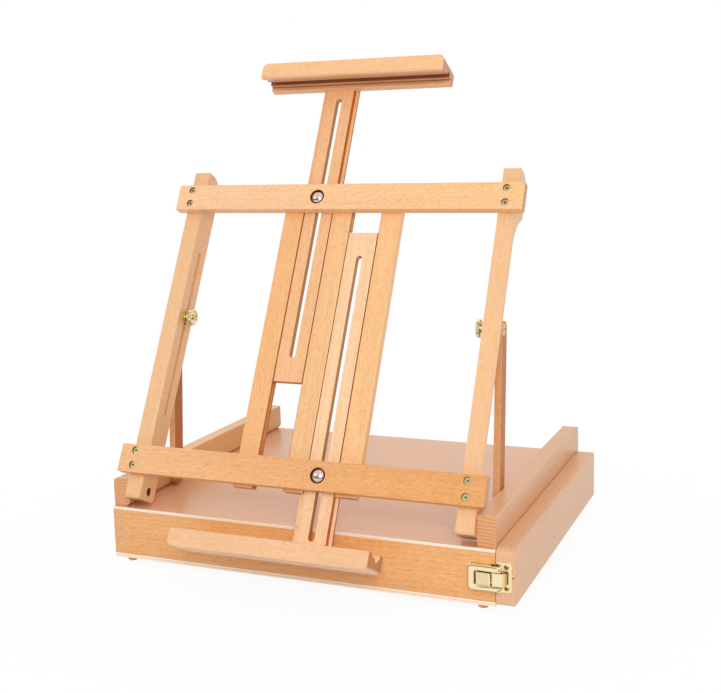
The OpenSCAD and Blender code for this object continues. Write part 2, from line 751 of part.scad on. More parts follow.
// The strap that draws the drawer shut, with its lip bent down over the strike's hook
module latch_strap() color("gold") on_latch() difference() {
    translate([0, 0, -strap_half]) linear_extrude(2 * strap_half) {
        translate(strap_pin) circle(1.1);
        translate([strap_pin[0], strap_pin[1] - 1.1]) square([strap_length, 1.1]);
        translate([strap_pin[0] + strap_length, strap_pin[1] - 1.1])
            polygon([[-0.1, 0], [0.6, 0], [3.6, 1.8], [3.1, 2.5], [0, 1.1], [-0.1, 1.1]]);
    }
    translate([strap_pin[0], strap_pin[1], -latch_height / 2]) cylinder(d = 1 + 2 * fit, h = latch_height);
}

strike_screw_z = 9.8;
strike_screw_x = 10.2;

module latch_strike() color("goldenrod") on_latch() translate([0, 0, strike_shift]) difference() {
    union() {
        facing(-latch_sheet, 0) translate([drawer_x1 + 0.4, -latch_height / 2 - 0.8])
            rounded([14.6, latch_height + 1.6], [0, 3, 3, 0]);
        translate([hook_x, 0, -strap_half + 1]) linear_extrude(2 * strap_half - 2)
            polygon([[0, -0.5], [0, -2.4], [0.8, -3.2], [4, -3.2],
                     [4, -2.4], [1.2, -2.4], [1, -2.2], [1, -0.5]]);
    }
    for (z = [-strike_screw_z, strike_screw_z])
        translate([drawer_x1 + strike_screw_x, 0, z]) pin(-latch_sheet - e, e, 3);
}

module latch_strike_screws() color("gold") on_latch()
    for (z = [-strike_screw_z, strike_screw_z])
        translate([drawer_x1 + strike_screw_x, 0, z + strike_shift]) {
            translate([0, -latch_sheet - 1.1, 0]) dome(5.4, 1.1);
            pin(-latch_sheet, 0, 3);
        }

front_wall();
back_wall();
left_wall();
top_panel();
bottom_panel();
left_rail();
right_rail();
feet();
pivot_bolts();
strut_pivot_screws();
latch_base();
drawer_front();
drawer_front_side();
drawer_rear_side();
drawer_end();
drawer_bottom();
drawer_long_divider();
drawer_cross_dividers();
latch_strike();
latch_strike_screws();
left_upright();
right_upright();
upper_crossbar();
lower_crossbar();
crossbar_screws();
left_guide();
centre_guide();
right_guide();
upper_carriage_bolt();
lower_carriage_bolt();
mast_washers();
upper_mast();
top_clamp();
top_clamp_screws();
lower_mast();
tray();
tray_screws();
upper_mast_nut();
lower_mast_nut();
left_strut();
left_strut_bolt();
right_strut();
right_strut_bolt();
left_stud();
right_stud();
left_thumb_nut();
right_thumb_nut();
latch_lever();
latch_strap();
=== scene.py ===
import json
import math

import bmesh
import bpy
from mathutils import Matrix, Vector


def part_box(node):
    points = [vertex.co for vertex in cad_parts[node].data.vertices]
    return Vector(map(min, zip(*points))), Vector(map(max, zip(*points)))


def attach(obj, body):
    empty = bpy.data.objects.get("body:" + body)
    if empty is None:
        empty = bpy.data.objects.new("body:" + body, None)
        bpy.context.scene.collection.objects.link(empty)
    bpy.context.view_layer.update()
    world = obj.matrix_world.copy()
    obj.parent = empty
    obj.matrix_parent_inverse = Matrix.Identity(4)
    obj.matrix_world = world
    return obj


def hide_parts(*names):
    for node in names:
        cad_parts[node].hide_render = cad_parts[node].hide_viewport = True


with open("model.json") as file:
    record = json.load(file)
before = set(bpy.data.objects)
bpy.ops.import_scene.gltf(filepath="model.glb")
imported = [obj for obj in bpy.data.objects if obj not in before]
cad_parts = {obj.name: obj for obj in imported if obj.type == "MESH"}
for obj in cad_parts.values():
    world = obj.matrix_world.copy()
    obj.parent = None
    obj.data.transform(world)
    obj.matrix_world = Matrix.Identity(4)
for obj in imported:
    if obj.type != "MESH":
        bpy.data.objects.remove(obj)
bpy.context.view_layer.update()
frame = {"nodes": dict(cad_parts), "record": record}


# Bottom of the box. A sheet of three-ply beech, 3.5 mm thick, glued under the four walls, so that
# its cut edge shows all round as pale and darker layers. What every board shares starts here.
body_of = {node: body for body, nodes in frame["record"]["behaviour"]["bodies"].items() for node in nodes}
# Turns a board's grain to its log's length; no board is sawn quite along its log
GRAIN_TO_LOG = {"X": (0, 0, 0), "Y": (0, 0, -math.pi / 2), "Z": (0, math.pi / 2, 0)}
LOG_LEAN = (0.0, 0.012, 0.016)
# Spacing of the wave texture's rings at scale 1, the room round each fleck, and the lacquer's shine
RING_PERIOD = 0.31416
FLECK = (0.0042, 0.0018, 0.0018)
COAT = 0.3
SHINE = 0.5


def linear(code):
    """An sRGB hex colour as linear RGBA."""
    values = [int(code[i:i + 2], 16) / 255 for i in (0, 2, 4)]
    return [v / 12.92 if v <= 0.04045 else ((v + 0.055) / 1.055) ** 2.4 for v in values] + [1]


def add(tree, kind, inputs=(), **settings):
    """Adds a shader node, with settings and with values or links for its sockets.

    Sockets go by name or number: a mix of colours has its share at 0 and its colours at 6 and 7."""
    node = tree.nodes.new("ShaderNode" + kind)
    for key, value in settings.items():
        setattr(node, key, value)
    for key, value in dict(inputs).items():
        if isinstance(value, bpy.types.NodeSocket):
            tree.links.new(value, node.inputs[key])
        else:
            node.inputs[key].default_value = value
    return node


def new_surface(name, **values):
    """A material with only a Principled shader, and that shader."""
    material = bpy.data.materials.new(name)
    material.use_nodes = True
    shader = material.node_tree.nodes["Principled BSDF"]
    for key, value in values.items():
        shader.inputs[key.replace("_", " ")].default_value = value
    return material, material.node_tree, shader


def beech(name, face, ring, heart, along="X", turn=0.0, ring_gap=0.0032, ring_strength=0.16,
          fleck_strength=0.6, wander=0.008, roughness=0.42, end_face="C98D5E", end_ring="AC7040",
          side=None, streak_strength=0.75, right_face=None):
    """Lacquered beech, planed: a pale orange wood with short flecks and a low, soft shine.

    heart is the board's place in its log, from the log's heart, in metres; turn is the lean of its
    grain about X; side is a tone painted on its sides, those that face along X, as painted shade
    where they are shaded and painted light where a lamp falls on them, and right_face the face's
    tone at the board's right end."""
    material, tree, shader = new_surface(name)
    here = add(tree, "TexCoord")
    place = add(tree, "Mapping", {"Vector": here.outputs["Object"], "Rotation": (turn, 0, 0)},
                vector_type="TEXTURE")
    log = add(tree, "Mapping", {
        "Vector": place.outputs[0], "Location": heart,
        "Rotation": [a + b for a, b in zip(GRAIN_TO_LOG[along], LOG_LEAN)]}).outputs[0]

    def stretched(scale):
        """The log's coordinates at so many waves a metre, along and across the grain."""
        return add(tree, "VectorMath", {0: log, 1: scale}, operation="MULTIPLY").outputs[0]

    # Growth rings, ring_gap apart and bent a little along the log, darker towards where each ends. At
    # scale 1 the texture's rings lie RING_PERIOD apart.
    bend = add(tree, "TexNoise", {"Vector": stretched((3, 26, 26)), "Scale": 1.0, "Detail": 2.0})
    centred = add(tree, "VectorMath", {0: bend.outputs["Color"], 1: (0.5, 0.5, 0.5)},
                  operation="SUBTRACT")
    shift = add(tree, "VectorMath", {0: centred.outputs[0], 1: (0, wander, wander)}, operation="MULTIPLY")
    bent = add(tree, "VectorMath", {0: log, 1: shift.outputs[0]})
    rings = add(tree, "TexWave", {"Vector": bent.outputs[0], "Scale": RING_PERIOD / ring_gap,
                                  "Distortion": 0.0},
                wave_type="RINGS", rings_direction="X", wave_profile="SAW")
    late = add(tree, "Math", {0: rings.outputs["Fac"], 1: 2.5}, operation="POWER")
    share = add(tree, "Math", {0: late.outputs[0], 1: ring_strength}, operation="MULTIPLY")
    across = add(tree, "SeparateXYZ", {0: here.outputs["Object"]}).outputs["X"]
    rightness = add(tree, "MapRange", {"Value": across, "From Min": -0.15, "From Max": 0.15})
    base = add(tree, "Mix", {0: rightness.outputs[0], 6: linear(face), 7: linear(right_face or face)},
               data_type="RGBA")
    wood = add(tree, "Mix", {0: share.outputs[0], 6: base.outputs[2], 7: linear(ring)}, data_type="RGBA")

    # Streaks 6 mm long and under 1 mm wide, wavy and a little across the grain
    tilted = add(tree, "Mapping", {"Vector": bent.outputs[0], "Rotation": (0, 0.1, 0.06)})
    strands = add(tree, "VectorMath", {0: tilted.outputs[0], 1: (170, 1200, 1200)}, operation="MULTIPLY")
    streak = add(tree, "TexNoise", {"Vector": strands.outputs[0], "Scale": 1.0, "Detail": 2.0})
    amount = add(tree, "MapRange", {"Value": streak.outputs["Fac"], "From Min": 0.46, "From Max": 0.68,
                                    "To Min": 0.0, "To Max": streak_strength})
    richer = add(tree, "HueSaturation", {"Color": wood.outputs[2], "Saturation": 1.22, "Value": 0.9})
    streaked = add(tree, "Mix", {0: amount.outputs[0], 6: wood.outputs[2], 7: richer.outputs[0]},
                   data_type="RGBA")

    # Ray flecks: short orange dashes nearly along the grain, up to 3 by 1.3 mm, one to a cell of FLECK
    grid = add(tree, "VectorMath", {0: tilted.outputs[0], 1: FLECK}, operation="DIVIDE")
    cells = add(tree, "TexVoronoi", {"Vector": grid.outputs[0], "Scale": 1.0})
    chosen = add(tree, "SeparateColor", {"Color": cells.outputs["Color"]})
    reach = add(tree, "MapRange", {"Value": chosen.outputs["Red"], "From Min": 0.15, "From Max": 1.0,
                                   "To Min": -0.1, "To Max": 0.36})
    gap = add(tree, "Math", {0: reach.outputs[0], 1: cells.outputs["Distance"]}, operation="SUBTRACT")
    dash = add(tree, "MapRange", {"Value": gap.outputs[0], "From Min": 0.0, "From Max": 0.14,
                                  "To Min": 0.0, "To Max": fleck_strength})
    flecked = add(tree, "Mix", {0: dash.outputs[0], 6: streaked.outputs[2], 7: linear("DC7C22")},
                  data_type="RGBA")

    # Bands of tone 17 mm wide, and fibres 1.2 mm wide, coarser than the real ones so that they show
    tone = add(tree, "TexNoise", {"Vector": stretched((2.2, 60, 60)), "Scale": 1.0, "Detail": 3.0})
    fibre = add(tree, "TexNoise", {"Vector": stretched((28, 800, 800)), "Scale": 1.0, "Detail": 2.0})
    broad = add(tree, "MapRange", {"Value": tone.outputs["Fac"], "From Min": 0.3, "From Max": 0.7,
                                   "To Min": 0.965, "To Max": 1.03})
    fine = add(tree, "MapRange", {"Value": fibre.outputs["Fac"], "From Min": 0.3, "From Max": 0.7,
                                  "To Min": 0.96, "To Max": 1.03})
    level = add(tree, "Math", {0: broad.outputs[0], 1: fine.outputs[0]}, operation="MULTIPLY")

    # End grain drinks more lacquer: darker, with the rings as arcs
    grain = Vector([float(axis == along) for axis in "XYZ"])
    grain.rotate(Matrix.Rotation(turn, 3, "X"))
    facing = add(tree, "VectorMath", {0: here.outputs["Normal"], 1: grain}, operation="DOT_PRODUCT")
    square = add(tree, "Math", {0: facing.outputs["Value"]}, operation="ABSOLUTE")
    is_end = add(tree, "MapRange", {"Value": square.outputs[0], "From Min": 0.75, "From Max": 0.92})
    end_wood = add(tree, "Mix", {0: late.outputs[0], 6: linear(end_face), 7: linear(end_ring)},
                   data_type="RGBA")
    # Painted light and shade: faces that face along X take the side tone in place of the face's tone
    if side:
        sideways = add(tree, "SeparateXYZ", {0: here.outputs["Normal"]})
        turned_away = add(tree, "Math", {0: sideways.outputs["X"]}, operation="ABSOLUTE")
        is_side = add(tree, "MapRange", {"Value": turned_away.outputs[0], "From Min": 0.7,
                                         "From Max": 0.95, "To Min": 0.0, "To Max": 0.85})
        flecked = add(tree, "Mix", {0: is_side.outputs[0], 6: flecked.outputs[2], 7: linear(side)},
                      data_type="RGBA")
    both = add(tree, "Mix", {0: is_end.outputs[0], 6: flecked.outputs[2], 7: end_wood.outputs[2]},
               data_type="RGBA")
    toned = add(tree, "HueSaturation", {"Color": both.outputs[2], "Value": level.outputs[0]})
    tree.links.new(toned.outputs[0], shader.inputs["Base Color"])
    relief = add(tree, "Bump", {"Height": fibre.outputs["Fac"], "Strength": 0.12, "Distance": 0.0002})
    tree.links.new(relief.outputs[0], shader.inputs["Normal"])
    shader.inputs["Roughness"].default_value = roughness
    shader.inputs["Coat Weight"].default_value = COAT
    shader.inputs["Coat Roughness"].default_value = 0.22
    if side:
        # Sawn sides have no coat and little shine
        coat = add(tree, "MapRange", {"Value": is_side.outputs[0], "To Min": COAT, "To Max": 0.0})
        shine = add(tree, "MapRange", {"Value": is_side.outputs[0], "To Min": SHINE, "To Max": 0.15})
        tree.links.new(coat.outputs[0], shader.inputs["Coat Weight"])
        tree.links.new(shine.outputs[0], shader.inputs["Specular IOR Level"])
    return material


def plywood(name, face, ring, heart, bottom, layers, ply, along="X", **more):
    """Beech plywood: veneer on its faces, and its layers on the cut edges, from the bottom up.

    bottom is the sheet's underside and ply the thickness of a layer, in metres."""
    material = beech(name, face, ring, heart, along, **more)
    tree, shader = material.node_tree, material.node_tree.nodes["Principled BSDF"]
    here = add(tree, "TexCoord")
    up = add(tree, "SeparateXYZ", {0: here.outputs["Object"]}).outputs["Z"]
    step = add(tree, "MapRange", {"Value": up, "From Min": bottom,
                                  "From Max": bottom + ply * len(layers)})
    stripes = add(tree, "ValToRGB", {0: step.outputs[0]})
    stripes.color_ramp.interpolation = "CONSTANT"
    ramp = stripes.color_ramp.elements
    while len(ramp) < len(layers):
        ramp.new(0.5)
    for i, code in enumerate(layers):
        ramp[i].position = i / len(layers)
        ramp[i].color = linear(code)
    turned = add(tree, "SeparateXYZ", {0: here.outputs["Normal"]}).outputs["Z"]
    flat = add(tree, "Math", {0: turned}, operation="ABSOLUTE")
    is_edge = add(tree, "MapRange", {"Value": flat.outputs[0], "From Min": 0.8, "From Max": 0.3})
    veneer = shader.inputs["Base Color"].links[0].from_socket
    both = add(tree, "Mix", {0: is_edge.outputs[0], 6: veneer, 7: stripes.outputs["Color"]},
               data_type="RGBA")
    tree.links.new(both.outputs[2], shader.inputs["Base Color"])
    return material


def made(name, shape, sharp_angle=None):
    """The shape as a new object. With a sharp_angle, in degrees, it is smooth except at such edges."""
    for face in shape.faces:
        face.smooth = sharp_angle is not None
    mesh = bpy.data.meshes.new(name)
    shape.to_mesh(mesh)
    shape.free()
    if sharp_angle:
        mesh.set_sharp_from_angle(angle=math.radians(sharp_angle))
    piece = bpy.data.objects.new(name, mesh)
    bpy.context.scene.collection.objects.link(piece)
    return piece


def fitted(piece, node, material):
    """The piece stands for that CAD node and takes its place on its body."""
    piece.data.materials.append(material)
    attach(piece, body_of[node])
    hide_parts(node)
    return piece


def eased(node, material, radius, segments=2, front=0.0, rolled=None):
    """The CAD node's own shape with its edges eased, as sandpaper or a press leaves them.

    front is the radius of its front edges, where they are rounder. rolled is for a pressed ring: how
    far its outline's corners reach in, then the radii of its front edges along the outline and along
    the opening."""
    same_place = 2e-6
    flat_angle, corner_angle = math.radians(0.5), math.radians(35)
    shape = bmesh.new()
    shape.from_mesh(frame["nodes"][node].data)
    bmesh.ops.remove_doubles(shape, verts=shape.verts, dist=same_place)
    bmesh.ops.dissolve_limit(shape, angle_limit=flat_angle, verts=shape.verts, edges=shape.edges)

    def soften(edges, offset, segments, clamped=True):
        bmesh.ops.bevel(shape, geom=edges, offset=offset, offset_type="OFFSET", affect="EDGES",
                        segments=segments, profile=0.5, material=-1, clamp_overlap=clamped)

    def corners():
        return [edge for edge in shape.edges if len(edge.link_faces) == 2
                and edge.calc_face_angle() > corner_angle]

    def front_corners():
        return [edge for edge in corners() if all(vert.co.y < nose for vert in edge.verts)]

    nose = min(vert.co.y for vert in shape.verts) + 1e-5
    if front:
        soften(front_corners(), front, 5)
    if rolled:
        reach, outline_radius, opening_radius = rolled
        left = min(vert.co.x for vert in shape.verts)
        foot, head = (limit(vert.co.z for vert in shape.verts) for limit in (min, max))
        for outer, width in ((True, outline_radius), (False, opening_radius)):
            soften([edge for edge in front_corners()
                    if all((min(vert.co.x - left, vert.co.z - foot, head - vert.co.z) < reach) == outer
                           for vert in edge.verts)], width, 6, clamped=False)
    soften(corners(), radius, segments)
    piece = made(node + "_made", shape, sharp_angle=50)
    weigh = piece.modifiers.new("flat_faces", "WEIGHTED_NORMAL")
    weigh.keep_sharp = True
    return fitted(piece, node, material)


# The layers look thicker than the sheet's true 3.5 mm, so its underside is drawn a little lower
LOWERED = 0.0006
NEAR_UNDERSIDE = 0.001
bottom_wood = plywood("beech plywood of the bottom", "E2B98E", "CFA077", (0, 0.03, 0.11),
                      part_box("bottom_panel")[0].z - LOWERED, ["FFEFDD", "F8D2AC", "FFF8F0"], 0.00137)
sheet = eased("bottom_panel", bottom_wood, radius=0.0003)
underside = min(vert.co.z for vert in sheet.data.vertices)
for vert in sheet.data.vertices:
    if vert.co.z < underside + NEAR_UNDERSIDE:
        vert.co.z -= LOWERED

# Walls of the box. Solid beech, 10 mm thick, planed and lacquered. The side wall's fingers go
# through the front and back walls, and show there as small blocks of end grain.
front_wood = beech("beech of the front wall", "EFB277", "D8935A", (0.1, 0.12, 0.03), ring_gap=0.0045,
                   ring_strength=0.3, wander=0.012)
back_wood = beech("beech of the back wall", "EBB07A", "D4945E", (0.4, 0.16, 0.02), ring_gap=0.004)
left_wood = beech("beech of the left wall", "EBB07C", "D49462", (0.2, 0.1, 0.05), "Y", ring_gap=0.004,
                  end_face="DDB085", end_ring="D6A67A")
for node, wall_wood in (("front_wall", front_wood), ("back_wall", back_wood), ("left_wall", left_wood)):
    eased(node, wall_wood, radius=0.0003)


# Feet. Four turned buttons of a close-grained wood, stained orange and glued under the bottom near
# its corners.
def plain_wood(name, code):
    """Stained close-grained wood, matt and mottled every 1.7 mm, so that it looks slightly rough."""
    material, tree, shader = new_surface(name, Roughness=0.5)
    here = add(tree, "TexCoord")
    mottle = add(tree, "TexNoise", {"Vector": here.outputs["Object"], "Scale": 600.0, "Detail": 2.0})
    level = add(tree, "MapRange", {"Value": mottle.outputs["Fac"], "To Min": 0.85, "To Max": 1.12})
    tone = add(tree, "HueSaturation", {"Color": linear(code), "Value": level.outputs[0]})
    tree.links.new(tone.outputs[0], shader.inputs["Base Color"])
    return material


eased("feet", plain_wood("stained turned wood of the feet", "F8A868"), radius=0.0008, segments=3)

# Top of the box. Three-ply with beech veneer, its grain across the box, 3 mm thick, glued on the
# walls. The lacquer on this sheet is pinkish, and its cut front edge is nearly cream.
top_wood = plywood("beech veneer of the top", "E7B186", "DAA078", (0, 0.02, 0.3),
                   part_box("top_panel")[0].z, ["FBEEDA", "F6DFC2", "FFF6EA"], 0.001, ring_gap=0.007,
                   ring_strength=0.3, fleck_strength=0.15, wander=0.03, roughness=0.36,
                   streak_strength=0.35)
eased("top_panel", top_wood, radius=0.0003)

# Rails. Two solid beech bars glued on the top along its sides; the frame and the struts turn on
# screws in them.
# The left rail's sides, which face along X, take painted shade in a slightly darker tone
left_rail_wood = beech("beech of the left rail", "EFB780", "DA9C66", (0, -0.19, 0.09), "Y",
                       end_face="DFA270", end_ring="D08E58", side="E2AE76")
right_rail_wood = beech("beech of the right rail", "E1AD80", "D29766", (0.3, 0.178, 0.115), "Y",
                        end_face="E4A76E", end_ring="C87E4C")
eased("left_rail", left_rail_wood, radius=0.0006)
eased("right_rail", right_rail_wood, radius=0.0006)

# Drawer. Thin solid sides and dividers round a plywood bottom, glued, and only sealed, which leaves
# them greyer and duller; the front is a thick lacquered beech board with rounded long edges.
SEALED = 0.55
side_wood = beech("sealed beech of the drawer's sides", "DDB183", "CB9965", (0.2, 0.08, 0.05),
                  roughness=SEALED)
end_wood = beech("sealed beech of the drawer's end and dividers", "DDB183", "CB9965",
                 (0.1, 0.06, 0.07), "Y", roughness=SEALED)
for node in ("drawer_front_side", "drawer_rear_side", "drawer_long_divider"):
    eased(node, side_wood, radius=0.0004)
for node in ("drawer_end", "drawer_cross_dividers"):
    eased(node, end_wood, radius=0.0004)
drawer_ply = plywood("plywood of the drawer's bottom", "D8B48A", "C9A078", (0, 0.02, 0.2),
                     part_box("drawer_bottom")[0].z, ["E6CDA8", "C99A68", "E6CDA8"], 0.001,
                     roughness=SEALED)
eased("drawer_bottom", drawer_ply, radius=0.0003)
drawer_front_wood = beech("beech of the drawer front", "E3AD80", "D69E70", (0.2, 0.04, 0.1), "Y",
                          ring_gap=0.005, ring_strength=0.2, fleck_strength=0.15,
                          end_face="E9B68E", end_ring="E4AE84")
eased("drawer_front", drawer_front_wood, radius=0.0004)


# Catch on the front. Pressed sheet steel, brass plated and bright: a base with a lever and a strap
# on the front wall, and a strike plate screwed to the drawer front.
def plated(name, code, roughness):
    """A bright plated metal. Faint waves 3 mm apart break up what it mirrors, as on a pressed part."""
    material, tree, shader = new_surface(name, Metallic=1.0)
    here = add(tree, "TexCoord")
    haze = add(tree, "TexNoise", {"Vector": here.outputs["Object"], "Scale": 350.0, "Detail": 3.0})
    rough = add(tree, "MapRange", {"Value": haze.outputs["Fac"], "To Min": roughness * 0.7,
                                   "To Max": roughness * 1.4})
    tree.links.new(rough.outputs[0], shader.inputs["Roughness"])
    level = add(tree, "MapRange", {"Value": haze.outputs["Fac"], "To Min": 0.9, "To Max": 1.06})
    tone = add(tree, "HueSaturation", {"Color": linear(code), "Value": level.outputs[0]})
    tree.links.new(tone.outputs[0], shader.inputs["Base Color"])
    return material


def pressed_brass(name, face, rim_light):
    """Brass plating on pressed sheet: pale and bright on the flats, with painted highlights and painted
    dark reflections where a rim bends away.

    Its rim tones go by how squarely a place faces the front, from 0 on a side to 1 on a flat."""
    material = plated(name, face, 0.2)
    tree, shader = material.node_tree, material.node_tree.nodes["Principled BSDF"]
    turned = add(tree, "SeparateXYZ", {0: add(tree, "TexCoord").outputs["Normal"]})
    flat = add(tree, "Math", {0: turned.outputs["Y"]}, operation="ABSOLUTE")
    bent = add(tree, "ValToRGB", {0: flat.outputs[0]})
    ramp = bent.color_ramp.elements
    while len(ramp) < len(rim_light):
        ramp.new(0.5)
    for i, (position, code) in enumerate(rim_light):
        ramp[i].position = position
        ramp[i].color = linear(code)
    is_bent = add(tree, "MapRange", {"Value": flat.outputs[0], "From Min": 0.99, "From Max": 0.95})
    bright = shader.inputs["Base Color"].links[0].from_socket
    both = add(tree, "Mix", {0: is_bent.outputs[0], 6: bright, 7: bent.outputs["Color"]},
               data_type="RGBA")
    tree.links.new(both.outputs[2], shader.inputs["Base Color"])
    return material


# The catch's rims carry a painted highlight band and a painted dark gold line next to the flats
catch_brass = pressed_brass("bright brass plating of the catch", "FBEABC",
                            ((0.0, "FFF0C4"), (0.3, "F8E4B0"), (0.6, "FFF8E4"), (0.86, "B07C34"),
                             (0.94, "C89848")))
eased("latch_base", catch_brass, radius=0.0003, front=0.0004)
eased("latch_lever", catch_brass, radius=0.0003, rolled=(0.0046, 0.0018, 0.0008))
strap = eased("latch_strap", catch_brass, radius=0.0003)
eased("latch_strike", catch_brass, radius=0.0003)
# The strap's end slopes back from its front face
STRAP_SKIN, STRAP_END, STRAP_SLOPE = 0.0008, 0.0052, 0.0024
low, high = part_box("latch_strap")
for vert in strap.data.vertices:
    if vert.co.y < low.y + STRAP_SKIN and vert.co.x > high.x - STRAP_END:
        vert.co.x -= STRAP_SLOPE
eased("latch_strike_screws", catch_brass, radius=0.0002)


def added(piece, material, body):
    """The piece stands for no CAD node and rides on that body."""
    piece.data.materials.append(material)
    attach(piece, body)


def blocks(name, places, material, body, turn=0.0, lean=0.0):
    """Small eased blocks in one mesh, each as its middle and its size, in metres.

    They are turned about Y, then leant about X."""
    ease = 0.0001
    shape = bmesh.new()
    for middle, size in places:
        spot = (Matrix.Translation(middle) @ Matrix.Rotation(lean, 4, "X") @ Matrix.Rotation(turn, 4, "Y")
                @ Matrix.Diagonal((*size, 1)))
        bmesh.ops.create_cube(shape, size=1.0, matrix=spot)
    bmesh.ops.bevel(shape, geom=shape.edges[:], offset=ease, offset_type="OFFSET", affect="EDGES",
                    segments=2, profile=0.5, material=-1)
    added(made(name, shape), material, body)


def crosses(heads, length, width, depth):
    """The crossed recess in each screw's head, drawn as two thin bars, as blocks() takes them."""
    return [(head, size) for head in heads for size in ((length, depth, width), (width, depth, length))]


# The recesses in the strike's screws carry painted shade: dull, nearly brown bars
HALF_HEAD = 0.0027
CROSS_INSET = 0.0002
low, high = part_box("latch_strike_screws")
heads = [Vector(((low.x + high.x) / 2, low.y + CROSS_INSET, z))
         for z in (low.z + HALF_HEAD, high.z - HALF_HEAD)]
recess = plated("oxidised steel in the screws' recesses", "5C3020", 0.5)
blocks("catch_screw_crosses", crosses(heads, length=0.003, width=0.0008, depth=0.0006), recess,
       "drawer", turn=0.6)

# In the lever's opening lies the plate of the base, duller than the lever, with a bead pressed up along
# its right edge that is paler as a painted highlight; a small nail sits beside the strike
PLATE_SIZE = (0.0128, 0.001, 0.0118)
BEAD_SIZE = (0.0013, 0.0012, 0.0118)
NAIL_SIZE = (0.0022, 0.0004, 0.0008)
PLATE_FROM_LEFT, PLATE_DROP, PLATE_DEPTH = 0.0141, 0.001, -0.14939
BEAD_FROM_PLATE = Vector((0.0062, -0.0003, 0))
NAIL_FROM_STRIKE, NAIL_DEPTH = 0.0012, -0.14543
low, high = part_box("latch_lever")
middle = Vector((low.x + PLATE_FROM_LEFT, PLATE_DEPTH, (low.z + high.z) / 2 - PLATE_DROP))
blocks("catch_inner_plate", [(middle, PLATE_SIZE)],
       plated("satin brass of the catch's inner plate", "F2DCAE", 0.3), "box")
blocks("catch_plate_bead", [(middle + BEAD_FROM_PLATE, BEAD_SIZE)],
       plated("brass of the catch's bead, paler as a painted highlight", "FFF4D0", 0.3), "box")
low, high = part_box("latch_strike")
nail = Vector((high.x + NAIL_FROM_STRIKE, NAIL_DEPTH, (low.z + high.z) / 2))
blocks("catch_nail", [(nail, NAIL_SIZE)], recess, "drawer")

# Uprights. Beech, 17.5 mm thick, shaped at the ends; a rebate on the outer face takes the folded
# strut, and the strut's bolt slides in a long slot. They stand at 62 degrees to the box.
LEAN = math.radians(62 - 90)
left_upright_wood = beech("beech of the left upright", "ECBB8A", "D9A070", (0.1, 0.05, 0.08), "Z", LEAN,
                          streak_strength=0.6, fleck_strength=0.4)
right_upright_wood = beech("beech of the right upright", "EDBC8C", "D9A070", (0.5, 0.06, 0.07), "Z", LEAN,
                           streak_strength=0.5, fleck_strength=0.3)
eased("left_upright", left_upright_wood, radius=0.0009, segments=3)
eased("right_upright", right_upright_wood, radius=0.0009, segments=3)

# Pivots. Bolts through the uprights and screws through the struts, both turned of bronze and screwed
# into the rails. They are coloured nearly as dark as a hole, as painted shade of the deep holes they sit
# in.
shaded_bronze = plated("bronze of the pivot bolts, darkened by painted shade", "6B4A34", 0.4)
for node in ("pivot_bolts", "strut_pivot_screws"):
    eased(node, shaded_bronze, radius=0.0003)

# Struts. Beech laths 7 mm thick with round ends, browner on their sides with painted shade. A turned
# brass bolt, recessed at the top, joins each to its upright's slot.
STRUT_LEAN = math.radians(85.593 - 90)
for node, along_log in (("left_strut", 0.3), ("right_strut", 0.7)):
    strut_wood = beech("beech of the " + node.replace("_", " "), "E0A878", "C88A58",
                       (along_log, 0.06, 0.05), "Z", STRUT_LEAN, side="B06428")
    eased(node, strut_wood, radius=0.0006)
turned_brass = plated("turned brass of screws and nuts", "D8BC74", 0.28)
for node in ("left_strut_bolt", "right_strut_bolt", "left_stud", "right_stud"):
    eased(node, turned_brass, radius=0.0003)


# Thumb nuts. Turned of brass with a knurled rim, screwed on the struts' bolts inside the uprights.
# Light brass, dished and lightly brushed, so they look paler than the screws.
def spun(shape, foot, axis, side, profile, steps):
    """Turns a closed profile of (distance along the axis, radius) round the axis from its foot."""
    verts = [shape.verts.new(foot + axis * along + side * out) for along, out in profile]
    edges = [shape.edges.new(pair) for pair in zip(verts, verts[1:] + verts[:1])]
    bmesh.ops.spin(shape, geom=verts + edges, cent=foot, axis=axis, dvec=(0, 0, 0), angle=2 * math.pi,
                   steps=steps, use_merge=True, use_duplicate=False)


def knurled_nut(node, axis):
    """A nut turned round its axis: a smooth collar, then a disc with a knurled rim and a dished face.

    Its profile is in shares of the CAD nut's length and radius."""
    steps = 120
    knurl_depth = 0.045
    rim_share = 0.995
    axis = Vector(axis).normalized()
    side = Vector((0, axis.z, -axis.y)) if abs(axis.x) < 0.5 else Vector((0, 1, 0))
    third = axis.cross(side)
    source = frame["nodes"][node]
    points = [source.matrix_world @ vert.co for vert in source.data.vertices]
    spans = [(min(p.dot(way) for p in points), max(p.dot(way) for p in points))
             for way in (axis, side, third)]
    length, radius = spans[0][1] - spans[0][0], (spans[1][1] - spans[1][0]) / 2
    foot = axis * spans[0][0] + side * sum(spans[1]) / 2 + third * sum(spans[2]) / 2
    profile = [(0.0, 0.3), (0.0, 0.46), (0.04, 0.5), (0.46, 0.5), (0.5, 0.54), (0.5, 0.9), (0.56, 0.985),
               (0.6, 1.0), (0.88, 1.0), (0.93, 0.985), (1.0, 0.9), (1.0, 0.74), (0.97, 0.7),
               (0.86, 0.66), (0.85, 0.3)]
    shape = bmesh.new()
    spun(shape, foot, axis, side, [(length * along, radius * out) for along, out in profile], steps)
    for vert in shape.verts:
        out = vert.co - foot - axis * (vert.co - foot).dot(axis)
        step = round(math.atan2(out.dot(third), out.dot(side)) / (2 * math.pi) * steps)
        if out.length > rim_share * radius and step % 2:
            vert.co -= out * knurl_depth
    bmesh.ops.recalc_face_normals(shape, faces=shape.faces)
    fitted(made(node + "_made", shape, sharp_angle=30), node, nut_brass)


nut_brass = plated("pale brass of the knurled nuts", "E6DAB2", 0.24)
knurled_nut("left_thumb_nut", (1, 0, 0))
knurled_nut("right_thumb_nut", (-1, 0, 0))

